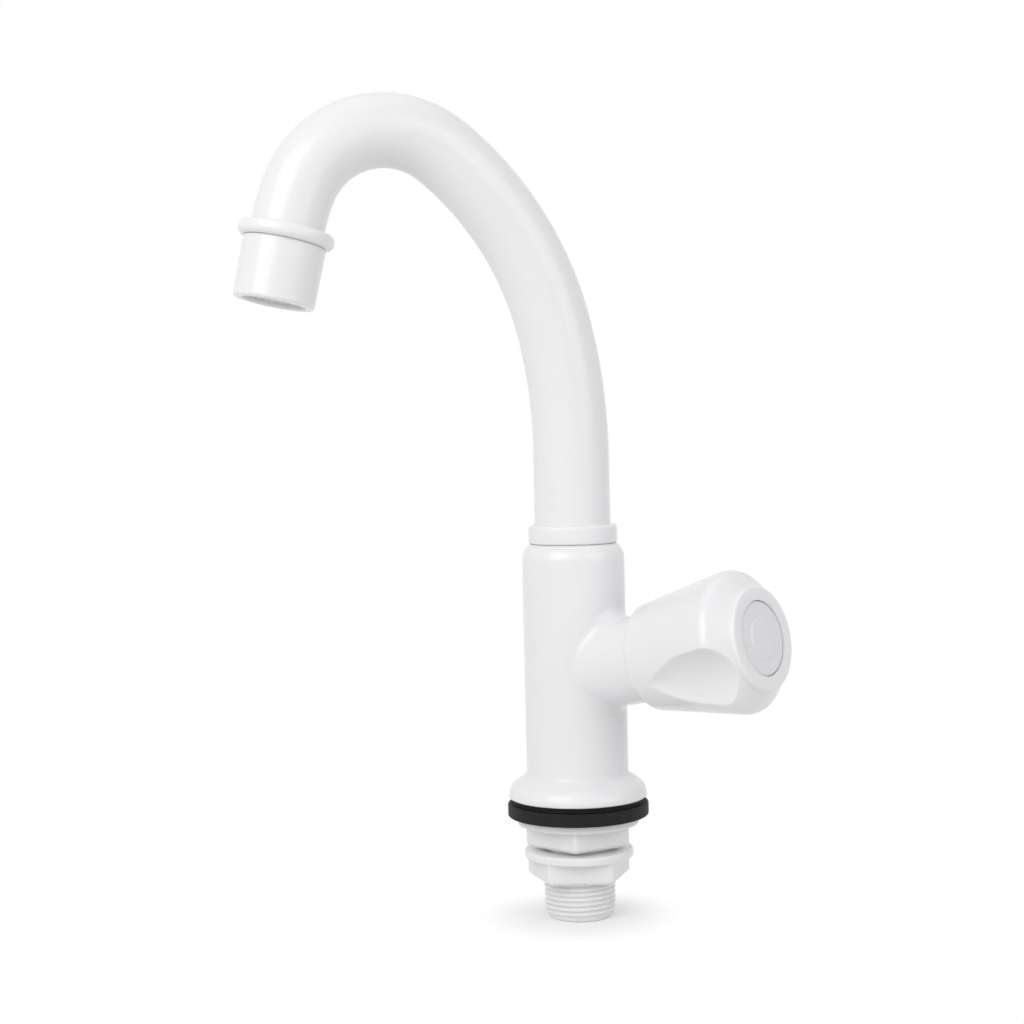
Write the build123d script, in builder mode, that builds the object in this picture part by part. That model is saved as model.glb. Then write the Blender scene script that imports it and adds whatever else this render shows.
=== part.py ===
from build123d import *
from math import cos, radians, sin
import os

# Plastic pillar tap with a swan-neck swivel spout and a side knob.
# Millimetres. +Z is up the column, the origin is on the column's axis at the deck plane,
# which is the underside of the base washer. The spout at rest points along -X.

# Fits and clearances
running_gap = 0.05
loose_gap = 0.10
seam_gap = 0.15
ring_gap = 0.03

# Threaded tail: three-quarter inch pipe thread
thread_radius = 13.22
thread_pitch = 1.814
thread_depth = 1.162
thread_crest_flat = 0.454
thread_root_flat = 0.12
thread_sink = 0.1
tail_length = 38.0
tail_bore_radius = 9.0
tail_chamfer = 0.8
thread_top_relief = 1.0

# Base washer
base_washer_radius = 26.15
base_washer_thickness = 6.8
base_washer_rim_thickness = 4.8
base_washer_hub_radius = 23.4
base_washer_bore_gap = 0.5
base_washer_edge = 0.7

# Backnuts
nut_sides = 5
nut_corner_radius = 20.1
nut_corner_round = 1.3
nut_bottom_chamfer = 1.1
clamp_flange_radius = 22.5
clamp_flange_thickness = 3.2
clamp_nut_height = 10.95
clamp_nut_turn = 28.0
nut_spacing = 1.5
lock_flange_radius = 20.1
lock_flange_thickness = 3.1
lock_nut_height = 10.9
lock_nut_turn = -2.0
nut_flange_edge = 0.7

# Column and base flange
column_radius = 18.9
column_height = 101.0
column_shoulder = 5.7
column_top_radius = 16.0
flange_radius = 25.65
flange_shoulder_height = 4.1
flange_slope = 4.65
flange_root_fillet = 2.2
flange_shoulder_fillet = 6.0
flange_lower_fillet = 0.6

# Side branch, which carries the headwork
branch_height = 53.7
branch_heading = -58.7
branch_tilt = 11.3
branch_radius = 15.8
branch_end = 35.7
branch_root_fillet = 5.0
branch_edge = 0.5

# Waterways in the body
valve_bore_radius = 10.3
seat_radius = 5.0
seat_lip_radius = 6.6
seat_lip_height = 1.0
seat_wall_front = -3.0
rear_chamber_end = -12.0
rear_passage_offset = 8.5
rear_passage_radius = 4.5
inlet_chamber_top = 30.8
outlet_passage_offset = 4.5
outlet_passage_radius = 7.0

# Spout foot
socket_radius = 13.0
socket_floor = 72.8
spigot_bottom = 73.8
spigot_bore_radius = 9.6
spigot_chamfer = 0.5
collar_radius = 16.4
collar_height = 6.8
collar_edge = 2.3
slip_ring_radius = 15.0
slip_ring_thickness = 0.85
o_ring_section = 0.86
o_ring_groove_half = 1.2
o_ring_levels = (93.3, 86.3)
clip_level = 78.3
clip_thickness = 1.5
clip_inner_radius = 11.9
clip_outer_radius = 13.9
clip_mouth_angle = 40.0

# Swan neck: a straight foot and four arcs, each a radius and a turn
neck_foot_length = 26.6
neck_arcs = ((184.5, 14.6), (115.2, 37.7), (34.8, 105.3), (82.2, 9.8))
neck_foot_radius = 14.07
neck_outlet_radius = 13.0
neck_wall = 3.1

# Bead and threaded end of the outlet
bead_radius = 17.0
bead_height = 5.2
bead_edge = 2.3
outlet_spigot_radius = 12.1
outlet_spigot_length = 8.0

# Nozzle and aerator
nozzle_top_radius = 14.7
nozzle_mouth_radius = 14.4
nozzle_length = 21.5
nozzle_rim_round = 1.1
nozzle_ledge_radius = 11.3
nozzle_ledge_height = 1.6
aerator_seal_thickness = 1.5
aerator_core_wall = 1.5
aerator_floor = 1.2
aerator_slot_count = 12
aerator_slot_width = 1.4
aerator_slot_inner = 4.0
aerator_slot_outer = 9.5
screen_thickness = 0.4
screen_hole_radius = 0.55
screen_hole_rings = ((3.0, 8), (5.6, 16), (8.2, 24))
grid_thickness = 1.6
grid_hole_radius = 0.75
grid_hole_rings = ((2.4, 6), (4.8, 12), (7.2, 18), (9.4, 24))

# Headwork bush in the branch
bush_inner_end = 8.0
bush_flange_radius = 13.2
bush_flange_thickness = 3.0
bush_neck_radius = 7.6
bush_neck_length = 9.3
bush_bore_radius = 7.3
bush_bore_reach = 2.3
headwork_seal_thickness = 1.0
bush_key_width = 2.4
bush_key_depth = 1.1

# Spindle
spindle_radius = 4.3
spindle_collar_radius = 6.9
spindle_collar_thickness = 2.0
spindle_slip_thickness = 0.8
spindle_screw_radius = 3.2
spindle_screw_start = 15.0
spindle_square = 6.4
spindle_square_round = 1.2
spindle_square_gap = 3.0
spindle_square_length = 10.0
spindle_ring_section = 0.62
spindle_groove_half = 0.87
spindle_ring_places = (3.6, 7.0)
spindle_clip_radius = 6.4
spindle_clip_thickness = 1.0
spindle_clip_seat = 3.5
spindle_clip_mouth_angle = 60.0
knob_screw_hole = 1.6

# Plunger, valve washer and its screw
plunger_lift = 4.5
valve_washer_radius = 6.6
valve_washer_thickness = 3.0
plunger_head_radius = 7.0
plunger_head_thickness = 2.4
plunger_stem_radius = 6.0
plunger_end = 25.0
plunger_cone_start = 9.0
plunger_guide_start = 10.5
plunger_key_start = 11.0
plunger_bore_spare = 2.0
washer_screw_radius = 1.7
washer_screw_head_radius = 3.2
washer_screw_head_height = 1.6
washer_screw_length = 7.0
washer_screw_spare = 0.5

# Knob
knob_gap = 0.25
knob_end = 82.9
knob_base_step = 3.35
knob_rim_radius = 25.7
knob_rim_place = 75.0
knob_bezel_radius = 18.7
knob_bezel_start = 80.9
knob_bezel_edge = 1.4
knob_base_edge = 4.2
knob_rim_round = 3.4
knob_turn = 26.0
knob_scoops = 2
scoop_sections = ((45.0, 20.6, 0.8), (59.0, 19.1, 20.5), (85.0, 18.8, 19.5))
knob_base_wall = 4.4
knob_face_wall = 16.9
knob_hub_radius = 7.4
knob_hub_web = 2.0
knob_rib_width = 2.0
knob_ribs = 4
cap_radius = 13.25
cap_thickness = 2.3
cap_recess = 0.3
cap_edge = 0.9
cap_ring_radius = 7.5
cap_ring_height = 0.35
cap_ring_edge = 0.28
cap_plug_radius = 5.4
cap_plug_wall = 1.2
cap_plug_length = 5.0
knob_pocket_radius = 5.5
knob_screw_radius = 1.55
knob_screw_head_radius = 3.6
knob_screw_head_height = 2.2
knob_screw_length = 12.0
screw_slot_width = 0.9
screw_slot_depth = 0.9
screw_edge_share = 0.3

# Worked out from the above
flange_base = base_washer_thickness
thread_root_radius = thread_radius - thread_depth
bush_flange_start = branch_end + headwork_seal_thickness
bush_flange_end = bush_flange_start + bush_flange_thickness
bush_neck_end = bush_flange_end + bush_neck_length
bush_bore_end = branch_end + bush_bore_reach
spindle_square_start = bush_neck_end + spindle_square_gap
spindle_end = spindle_square_start + spindle_square_length
knob_start = branch_end + knob_gap
knob_hub_start = spindle_square_start + loose_gap
knob_cavity_end = knob_end - knob_face_wall
knob_base_radius = branch_radius + knob_base_step
knob_cavity_radius = knob_base_radius - knob_base_wall
collar_base = column_height + seam_gap
collar_top = collar_base + collar_height
nozzle_bore_radius = outlet_spigot_radius + loose_gap
aerator_core_radius = nozzle_bore_radius - loose_gap

column_axis = Axis.Z
turning_plane = Plane.XZ
branch_origin = Vector(0, 0, branch_height)
branch_level_direction = Vector(cos(radians(branch_heading)), sin(radians(branch_heading)), 0)
branch_side = Vector(-sin(radians(branch_heading)), cos(radians(branch_heading)), 0)
branch_direction = Vector(
    cos(radians(branch_heading)) * cos(radians(branch_tilt)),
    sin(radians(branch_heading)) * cos(radians(branch_tilt)),
    sin(radians(branch_tilt)),
)
branch_plane = Plane(origin=branch_origin, x_dir=branch_side, z_dir=branch_direction)
branch_axis = Axis(branch_origin, branch_direction)
branch_turning = Plane(origin=branch_origin, x_dir=branch_side, z_dir=branch_side.cross(branch_direction))


def write(part, name):
    """Label a finished piece and write its file."""
    part.label = name
    export_step(part, f"parts/{name}.step")


def profile(plane, points):
    """Face through the given (radius, place along the axis) points."""
    with BuildSketch(plane, mode=Mode.PRIVATE) as sketch:
        with BuildLine():
            Polyline(*points, close=True)
        make_face()
    return sketch.sketch


def ring_points(inner, outer, start, end):
    """Corners of a plain ring's section."""
    return [(inner, start), (outer, start), (outer, end), (inner, end)]


def edge_at(part, radius, place, origin, direction):
    """Circular edges of a given radius whose centre lies at a place along an axis."""
    centre = origin + direction * place
    found = [
        edge
        for edge in part.edges().filter_by(GeomType.CIRCLE)
        if abs(edge.radius - radius) < 0.01 and (edge.arc_center - centre).length < 0.01
    ]
    return ShapeList(found)


def column_edge(part, radius, level):
    """Circular edges about the column's axis."""
    return edge_at(part, radius, level, Vector(0, 0, 0), Vector(0, 0, 1))


def branch_edge_at(part, radius, place):
    """Circular edges about the branch's axis."""
    return edge_at(part, radius, place, branch_origin, branch_direction)


os.makedirs("parts", exist_ok=True)


# Body: flange, column, branch, threaded tail and waterways in one moulding
def column_section():
    """Half section of the flange and the column, outside the tail."""
    shoulder = flange_base + flange_shoulder_height
    with BuildSketch(turning_plane, mode=Mode.PRIVATE) as sketch:
        with BuildLine():
            outline = Polyline(
                (column_top_radius, column_height),
                (0, column_height),
                (0, flange_base),
                (flange_radius, flange_base),
                (flange_radius, shoulder),
                (column_radius, shoulder + flange_slope),
                (column_radius, column_height - column_shoulder),
            )
            TangentArc(outline @ 1, outline @ 0, tangent=outline % 1)
        make_face()
        root = shoulder + flange_slope
        for radius_here, level, round_radius in (
            (flange_radius, flange_base, flange_lower_fillet),
            (flange_radius, shoulder, flange_shoulder_fillet),
            (column_radius, root, flange_root_fillet),
        ):
            corner = sketch.vertices().sort_by_distance((radius_here, level))[0]
            fillet(corner, round_radius)
    return sketch.sketch


def thread_ridge(bottom, top):
    """Helical ridge of the tail's thread, from bottom to top."""
    root_half = (thread_pitch - thread_root_flat) / 2
    crest_half = thread_crest_flat / 2
    path = Helix(thread_pitch, top - bottom, thread_root_radius - thread_sink, center=(0, 0, bottom))
    start = Plane(origin=path @ 0, x_dir=(1, 0, 0), z_dir=path % 0)
    with BuildPart(mode=Mode.PRIVATE) as ridge:
        with BuildSketch(start):
            with BuildLine():
                Polyline(
                    (0, -root_half),
                    (thread_depth + thread_sink, -crest_half),
                    (thread_depth + thread_sink, crest_half),
                    (0, root_half),
                    close=True,
                )
            make_face()
        sweep(path=path, is_frenet=True)
    return ridge.part


ridge_start = -tail_length + thread_pitch
ridge_end = flange_base - thread_top_relief - thread_pitch
tail_thread = thread_ridge(ridge_start, ridge_end)

with BuildPart() as body:
    add(column_section())
    revolve(axis=column_axis)
    with BuildSketch(branch_plane):
        Circle(branch_radius)
    extrude(amount=branch_end)
    fillet(branch_edge_at(body, branch_radius, branch_end), branch_edge)
    root_edges = body.edges().filter_by(lambda e: e.geom_type not in (GeomType.CIRCLE, GeomType.LINE))
    fillet(root_edges, branch_root_fillet)
    add(profile(turning_plane, [
        (0, -tail_length),
        (thread_root_radius - tail_chamfer, -tail_length),
        (thread_root_radius, -tail_length + tail_chamfer),
        (thread_root_radius, flange_base),
        (0, flange_base),
    ]))
    revolve(axis=column_axis)
    add(tail_thread)
    with BuildSketch(Plane.XY.offset(-tail_length)):
        Circle(tail_bore_radius)
    extrude(amount=tail_length + inlet_chamber_top, mode=Mode.SUBTRACT)
    with BuildSketch(branch_plane.offset(seat_wall_front)):
        Circle(valve_bore_radius)
        Circle(seat_lip_radius, mode=Mode.SUBTRACT)
    extrude(amount=branch_end - seat_wall_front, mode=Mode.SUBTRACT)
    with BuildSketch(branch_plane.offset(seat_wall_front + seat_lip_height)):
        Circle(seat_lip_radius)
    extrude(amount=branch_end - seat_wall_front, mode=Mode.SUBTRACT)
    with BuildSketch(branch_plane.offset(rear_chamber_end)):
        Circle(seat_radius)
    extrude(amount=-rear_chamber_end, mode=Mode.SUBTRACT)
    rear_place = branch_level_direction * -rear_passage_offset
    with BuildSketch(Plane.XY.offset(inlet_chamber_top - rear_passage_radius)):
        with Locations((rear_place.X, rear_place.Y)):
            Circle(rear_passage_radius)
    extrude(amount=branch_height - inlet_chamber_top + rear_passage_radius, mode=Mode.SUBTRACT)
    front_place = branch_level_direction * outlet_passage_offset
    with BuildSketch(Plane.XY.offset(branch_height)):
        with Locations((front_place.X, front_place.Y)):
            Circle(outlet_passage_radius)
    extrude(amount=socket_floor - branch_height, mode=Mode.SUBTRACT)
    with BuildSketch(Plane.XY.offset(socket_floor)):
        Circle(socket_radius)
    extrude(amount=column_height - socket_floor, mode=Mode.SUBTRACT)
    with BuildSketch(Plane.XY.offset(column_height + seam_gap - slip_ring_thickness - running_gap)):
        Circle(slip_ring_radius + loose_gap)
    extrude(amount=slip_ring_thickness, mode=Mode.SUBTRACT)
    with BuildSketch(Plane.XY.offset(clip_level - loose_gap)):
        Circle(clip_outer_radius + loose_gap)
    extrude(amount=clip_thickness + 2 * loose_gap, mode=Mode.SUBTRACT)
write(body.part, "body")


# Base washer
with BuildPart() as base_washer:
    inner = thread_radius + base_washer_bore_gap
    add(profile(turning_plane, [
        (inner, 0),
        (base_washer_radius, 0),
        (base_washer_radius, base_washer_rim_thickness),
        (base_washer_hub_radius, base_washer_rim_thickness),
        (base_washer_hub_radius, base_washer_thickness),
        (inner, base_washer_thickness),
    ]))
    revolve(axis=column_axis)
    fillet(column_edge(base_washer, base_washer_radius, base_washer_rim_thickness), base_washer_edge)
    fillet(column_edge(base_washer, base_washer_radius, 0), base_washer_edge)
write(base_washer.part, "base_washer")


# Backnuts
def backnut(top, flange_radius_here, flange_thickness, height, turn):
    """Flanged backnut that runs on the tail's thread, its top at the given level."""
    bottom = top - height
    with BuildPart(mode=Mode.PRIVATE) as nut:
        with BuildSketch(Plane.XY.offset(top - flange_thickness)):
            Circle(flange_radius_here)
        extrude(amount=flange_thickness)
        fillet(nut.edges(), nut_flange_edge)
        with BuildSketch(Plane.XY.offset(bottom)) as outline:
            RegularPolygon(nut_corner_radius, nut_sides, rotation=turn)
            fillet(outline.vertices(), nut_corner_round)
        extrude(amount=height - flange_thickness / 2)
        chamfer(nut.faces().sort_by(Axis.Z)[0].edges(), nut_bottom_chamfer)
        with BuildSketch(Plane.XY.offset(bottom)):
            Circle(thread_radius + running_gap)
        extrude(amount=height, mode=Mode.SUBTRACT)
    return nut.part


clamp_nut_top = -loose_gap / 2
write(
    backnut(clamp_nut_top, clamp_flange_radius, clamp_flange_thickness, clamp_nut_height, clamp_nut_turn),
    "clamp_nut",
)
lock_nut_top = clamp_nut_top - clamp_nut_height - nut_spacing
write(
    backnut(lock_nut_top, lock_flange_radius, lock_flange_thickness, lock_nut_height, lock_nut_turn),
    "lock_nut",
)


# Swan neck
def neck_stations():
    """Path pieces of the swan neck with the tube's radius at both ends of each."""
    lengths = [neck_foot_length] + [radius * radians(turn) for radius, turn in neck_arcs]
    total = sum(lengths)
    travelled = 0.0
    place = Vector(0, 0, collar_top)
    heading = Vector(0, 0, 1)
    stations = []
    for index, length in enumerate(lengths):
        if index == 0:
            piece = Edge.make_line(place, place + heading * length)
        else:
            radius, turn = neck_arcs[index - 1]
            centre_side = heading.rotate(Axis.Y, -90)
            centre = place + centre_side * radius
            half = (place - centre).rotate(Axis.Y, -turn / 2)
            whole = (place - centre).rotate(Axis.Y, -turn)
            piece = Edge.make_three_point_arc(place, centre + half, centre + whole)
            heading = heading.rotate(Axis.Y, -turn)
        start_share = travelled / total
        travelled += length
        end_share = travelled / total
        stations.append((piece, start_share, end_share))
        place = piece @ 1
    return stations, place, heading


stations, outlet_point, outlet_direction = neck_stations()
outlet_side = Vector(0, 1, 0)
outlet_turning = Plane(origin=outlet_point, x_dir=outlet_side, z_dir=outlet_side.cross(outlet_direction))
outlet_plane = Plane(origin=outlet_point, x_dir=outlet_side, z_dir=outlet_direction)
outlet_axis = Axis(outlet_point, outlet_direction)


def neck_solid(foot_radius, outlet_radius):
    """Tapered solid along the swan neck."""
    pieces = []
    for piece, start_share, end_share in stations:
        sections = []
        for place, share in ((0, start_share), (1, end_share)):
            radius = foot_radius + (outlet_radius - foot_radius) * share
            with BuildSketch(Plane(origin=piece @ place, z_dir=piece % place), mode=Mode.PRIVATE) as section:
                Circle(radius)
            sections.append(section.sketch.faces()[0])
        pieces.append(sweep(sections, path=piece, multisection=True, mode=Mode.PRIVATE))
    return pieces


with BuildPart() as spout:
    for piece in neck_solid(neck_foot_radius, neck_outlet_radius):
        add(piece)
    # foot collar and spigot
    with BuildSketch(Plane.XY.offset(collar_base)):
        Circle(collar_radius)
    extrude(amount=collar_height)
    fillet(column_edge(spout, collar_radius, collar_top), collar_edge)
    fillet(column_edge(spout, collar_radius, collar_base), collar_edge / 2)
    with BuildSketch(Plane.XY.offset(spigot_bottom)):
        Circle(socket_radius - running_gap)
    extrude(amount=collar_base - spigot_bottom)
    chamfer(column_edge(spout, socket_radius - running_gap, spigot_bottom), spigot_chamfer)
    # bead and threaded end
    with BuildSketch(outlet_plane):
        Circle(bead_radius)
    extrude(amount=bead_height)
    fillet(edge_at(spout, bead_radius, 0, outlet_point, outlet_direction), bead_edge)
    fillet(edge_at(spout, bead_radius, bead_height, outlet_point, outlet_direction), bead_edge)
    with BuildSketch(outlet_plane.offset(bead_height)):
        Circle(outlet_spigot_radius)
    extrude(amount=outlet_spigot_length)
    # waterway
    for piece in neck_solid(neck_foot_radius - neck_wall, neck_outlet_radius - neck_wall):
        add(piece, mode=Mode.SUBTRACT)
    with BuildSketch(Plane.XY.offset(spigot_bottom)):
        Circle(spigot_bore_radius)
    extrude(amount=collar_top - spigot_bottom, mode=Mode.SUBTRACT)
    with BuildSketch(outlet_plane):
        Circle(neck_outlet_radius - neck_wall)
    extrude(amount=bead_height + outlet_spigot_length, mode=Mode.SUBTRACT)
    # grooves for the rings and the clip
    groove_root = socket_radius - ring_gap - 2 * o_ring_section - ring_gap
    for level in o_ring_levels:
        add(profile(turning_plane, ring_points(
            groove_root, socket_radius + loose_gap, level - o_ring_groove_half, level + o_ring_groove_half,
        )))
        revolve(axis=column_axis, mode=Mode.SUBTRACT)
    add(profile(turning_plane, ring_points(
        clip_inner_radius - loose_gap,
        socket_radius + loose_gap,
        clip_level - loose_gap,
        clip_level + clip_thickness + loose_gap,
    )))
    revolve(axis=column_axis, mode=Mode.SUBTRACT)
write(spout.part, "spout")


# Rings and clip at the spout's foot
def round_ring(centre_plane, ring_radius, section_radius, level, axis):
    """Rubber ring of round section about an axis."""
    with BuildPart(mode=Mode.PRIVATE) as ring:
        with BuildSketch(centre_plane):
            with Locations((ring_radius, level)):
                Circle(section_radius)
        revolve(axis=axis)
    return ring.part


for level, name in zip(o_ring_levels, ("upper_spout_ring", "lower_spout_ring")):
    ring_radius = socket_radius - ring_gap - o_ring_section
    write(round_ring(turning_plane, ring_radius, o_ring_section, level, column_axis), name)

with BuildPart() as spout_slip_ring:
    slip_base = column_height + seam_gap - slip_ring_thickness - running_gap
    inner = socket_radius + running_gap
    slip_top = slip_base + slip_ring_thickness
    add(profile(turning_plane, ring_points(inner, slip_ring_radius, slip_base, slip_top)))
    revolve(axis=column_axis)
write(spout_slip_ring.part, "spout_slip_ring")

with BuildPart() as spout_clip:
    clip_points = ring_points(clip_inner_radius, clip_outer_radius, clip_level, clip_level + clip_thickness)
    add(profile(turning_plane, clip_points))
    revolve(axis=column_axis, revolution_arc=360 - clip_mouth_angle)
write(spout_clip.part, "spout_clip")


# Nozzle: the cup that screws on the outlet under the bead
nozzle_top = bead_height + seam_gap
nozzle_end = nozzle_top + nozzle_length
with BuildPart() as nozzle:
    seat = nozzle_end - nozzle_ledge_height
    add(profile(outlet_turning, [
        (nozzle_bore_radius, nozzle_top),
        (nozzle_top_radius, nozzle_top),
        (nozzle_mouth_radius, nozzle_end),
        (nozzle_ledge_radius, nozzle_end),
        (nozzle_ledge_radius, seat),
        (nozzle_bore_radius, seat),
    ]))
    revolve(axis=outlet_axis)
    for rim_radius, rim_place, rim_round in (
        (nozzle_mouth_radius, nozzle_end, nozzle_rim_round),
        (nozzle_ledge_radius, nozzle_end, nozzle_rim_round / 2),
        (nozzle_top_radius, nozzle_top, nozzle_rim_round / 2),
    ):
        fillet(edge_at(nozzle, rim_radius, rim_place, outlet_point, outlet_direction), rim_round)
write(nozzle.part, "nozzle")


# Aerator: a grid on the nozzle's ledge, the core with its two screens, and the seal
def drilled_disc(start, thickness, radius, hole_radius, hole_rings):
    """Disc across the outlet with rings of small holes."""
    with BuildPart(mode=Mode.PRIVATE) as disc:
        with BuildSketch(outlet_plane.offset(start)):
            Circle(radius)
            Circle(hole_radius, mode=Mode.SUBTRACT)
            for ring_radius, count in hole_rings:
                with PolarLocations(ring_radius, count):
                    Circle(hole_radius, mode=Mode.SUBTRACT)
        extrude(amount=thickness)
    return disc.part


grid_top = nozzle_end - nozzle_ledge_height - grid_thickness
write(
    drilled_disc(grid_top, grid_thickness, aerator_core_radius, grid_hole_radius, grid_hole_rings),
    "aerator_grid",
)

spigot_tip = bead_height + outlet_spigot_length
core_top = spigot_tip + aerator_seal_thickness
core_bottom = grid_top
aerator_core_height = core_bottom - core_top
with BuildPart() as aerator_core:
    core_bore = aerator_core_radius - aerator_core_wall
    with BuildSketch(outlet_plane.offset(core_top)):
        Circle(aerator_core_radius)
    extrude(amount=aerator_core_height)
    with BuildSketch(outlet_plane.offset(core_top + aerator_floor)):
        Circle(core_bore)
    extrude(amount=aerator_core_height - aerator_floor, mode=Mode.SUBTRACT)
    slot_length = aerator_slot_outer - aerator_slot_inner
    with BuildSketch(outlet_plane.offset(core_top)):
        with PolarLocations((aerator_slot_inner + aerator_slot_outer) / 2, aerator_slot_count):
            SlotOverall(slot_length, aerator_slot_width)
    extrude(amount=aerator_floor, mode=Mode.SUBTRACT)
write(aerator_core.part, "aerator_core")

screen_radius = aerator_core_radius - aerator_core_wall - loose_gap
first_screen = core_top + aerator_floor
second_screen = core_bottom - screen_thickness - loose_gap / 2
for start, name in ((first_screen, "upper_screen"), (second_screen, "lower_screen")):
    write(drilled_disc(start, screen_thickness, screen_radius, screen_hole_radius, screen_hole_rings), name)

with BuildPart() as aerator_seal:
    seal_bore = neck_outlet_radius - neck_wall
    add(profile(outlet_turning, ring_points(seal_bore, aerator_core_radius, spigot_tip, core_top)))
    revolve(axis=outlet_axis)
write(aerator_seal.part, "aerator_seal")


# Headwork bush
bush_outer_radius = valve_bore_radius - loose_gap
with BuildPart() as headwork_bush:
    add(profile(branch_turning, [
        (bush_bore_radius, bush_inner_end),
        (bush_outer_radius, bush_inner_end),
        (bush_outer_radius, bush_flange_start),
        (bush_flange_radius, bush_flange_start),
        (bush_flange_radius, bush_flange_end),
        (bush_neck_radius, bush_flange_end),
        (bush_neck_radius, bush_neck_end),
        (spindle_radius + running_gap, bush_neck_end),
        (spindle_radius + running_gap, bush_bore_end),
        (bush_bore_radius, bush_bore_end),
    ]))
    revolve(axis=branch_axis)
    # two keyways that keep the plunger from turning
    with BuildSketch(branch_plane.offset(bush_inner_end)):
        with PolarLocations(bush_bore_radius, 2):
            Rectangle(2 * bush_key_depth, bush_key_width)
    extrude(amount=plunger_end + plunger_lift + loose_gap - bush_inner_end, mode=Mode.SUBTRACT)
write(headwork_bush.part, "headwork_bush")

with BuildPart() as headwork_seal:
    seal_section = ring_points(valve_bore_radius, bush_flange_radius, branch_end, bush_flange_start)
    add(profile(branch_turning, seal_section))
    revolve(axis=branch_axis)
write(headwork_seal.part, "headwork_seal")


# Spindle: screw, thrust collar, ring grooves, clip groove and square
collar_end = bush_bore_end - spindle_slip_thickness - running_gap
collar_start = collar_end - spindle_collar_thickness
clip_start = bush_neck_end + running_gap
with BuildPart() as spindle:
    add(profile(branch_turning, [
        (0, spindle_screw_start),
        (spindle_screw_radius, spindle_screw_start),
        (spindle_screw_radius, collar_start),
        (spindle_collar_radius, collar_start),
        (spindle_collar_radius, collar_end),
        (spindle_radius, collar_end),
        (spindle_radius, spindle_square_start),
        (0, spindle_square_start),
    ]))
    revolve(axis=branch_axis)
    with BuildSketch(branch_plane.offset(spindle_square_start)) as square:
        Rectangle(spindle_square, spindle_square, rotation=knob_turn)
        fillet(square.vertices(), spindle_square_round)
    extrude(amount=spindle_end - spindle_square_start)
    with BuildSketch(branch_plane.offset(spindle_end)):
        Circle(knob_screw_hole)
    extrude(amount=-knob_screw_length, mode=Mode.SUBTRACT)
    ring_root = spindle_radius + running_gap - ring_gap - 2 * spindle_ring_section - ring_gap
    for place in spindle_ring_places:
        level = bush_bore_end + place
        groove = ring_points(
            ring_root, spindle_radius + loose_gap, level - spindle_groove_half, level + spindle_groove_half
        )
        add(profile(branch_turning, groove))
        revolve(axis=branch_axis, mode=Mode.SUBTRACT)
    clip_end = clip_start + spindle_clip_thickness
    groove_end = clip_end + loose_gap
    clip_groove = ring_points(spindle_clip_seat, spindle_radius + loose_gap, clip_start, groove_end)
    add(profile(branch_turning, clip_groove))
    revolve(axis=branch_axis, mode=Mode.SUBTRACT)
write(spindle.part, "spindle")

with BuildPart() as spindle_rings:
    for place in spindle_ring_places:
        level = bush_bore_end + place
        centre = spindle_radius + running_gap - ring_gap - spindle_ring_section
        add(round_ring(branch_turning, centre, spindle_ring_section, level, branch_axis))
write(spindle_rings.part, "spindle_rings")

with BuildPart() as spindle_clip:
    clip_section = ring_points(spindle_clip_seat + running_gap, spindle_clip_radius, clip_start, clip_end)
    add(profile(branch_turning, clip_section))
    revolve(axis=branch_axis, revolution_arc=360 - spindle_clip_mouth_angle)
write(spindle_clip.part, "spindle_clip")

with BuildPart() as spindle_slip_ring:
    slip_end = collar_end + spindle_slip_thickness
    slip_section = ring_points(
        spindle_radius + running_gap, bush_bore_radius - loose_gap, collar_end, slip_end
    )
    add(profile(branch_turning, slip_section))
    revolve(axis=branch_axis)
write(spindle_slip_ring.part, "spindle_slip_ring")


# Plunger, which the spindle's screw draws along the bush without turning
washer_start = seat_wall_front + seat_lip_height + running_gap
washer_end = washer_start + valve_washer_thickness
head_end = washer_end + plunger_head_thickness
plunger_bore_start = spindle_screw_start - plunger_lift - plunger_bore_spare
with BuildPart() as plunger:
    add(profile(branch_turning, [
        (0, washer_end),
        (plunger_head_radius, washer_end),
        (plunger_head_radius, head_end),
        (plunger_stem_radius, head_end),
        (plunger_stem_radius, plunger_cone_start),
        (bush_bore_radius - running_gap, plunger_guide_start),
        (bush_bore_radius - running_gap, plunger_end),
        (spindle_screw_radius + running_gap, plunger_end),
        (spindle_screw_radius + running_gap, plunger_bore_start),
        (0, plunger_bore_start),
    ]))
    revolve(axis=branch_axis)
    with BuildSketch(branch_plane.offset(plunger_key_start)):
        with PolarLocations(bush_bore_radius - loose_gap, 2):
            Rectangle(2 * (bush_key_depth - loose_gap), bush_key_width - 2 * loose_gap)
        Circle(plunger_stem_radius, mode=Mode.SUBTRACT)
    extrude(amount=plunger_end - plunger_key_start)
    with BuildSketch(branch_plane.offset(washer_end)):
        Circle(washer_screw_radius)
    extrude(amount=washer_screw_length - valve_washer_thickness + washer_screw_spare, mode=Mode.SUBTRACT)
write(plunger.part, "plunger")

with BuildPart() as valve_washer:
    washer_bore = washer_screw_radius + loose_gap
    add(profile(branch_turning, ring_points(washer_bore, valve_washer_radius, washer_start, washer_end)))
    revolve(axis=branch_axis)
write(valve_washer.part, "valve_washer")


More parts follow.
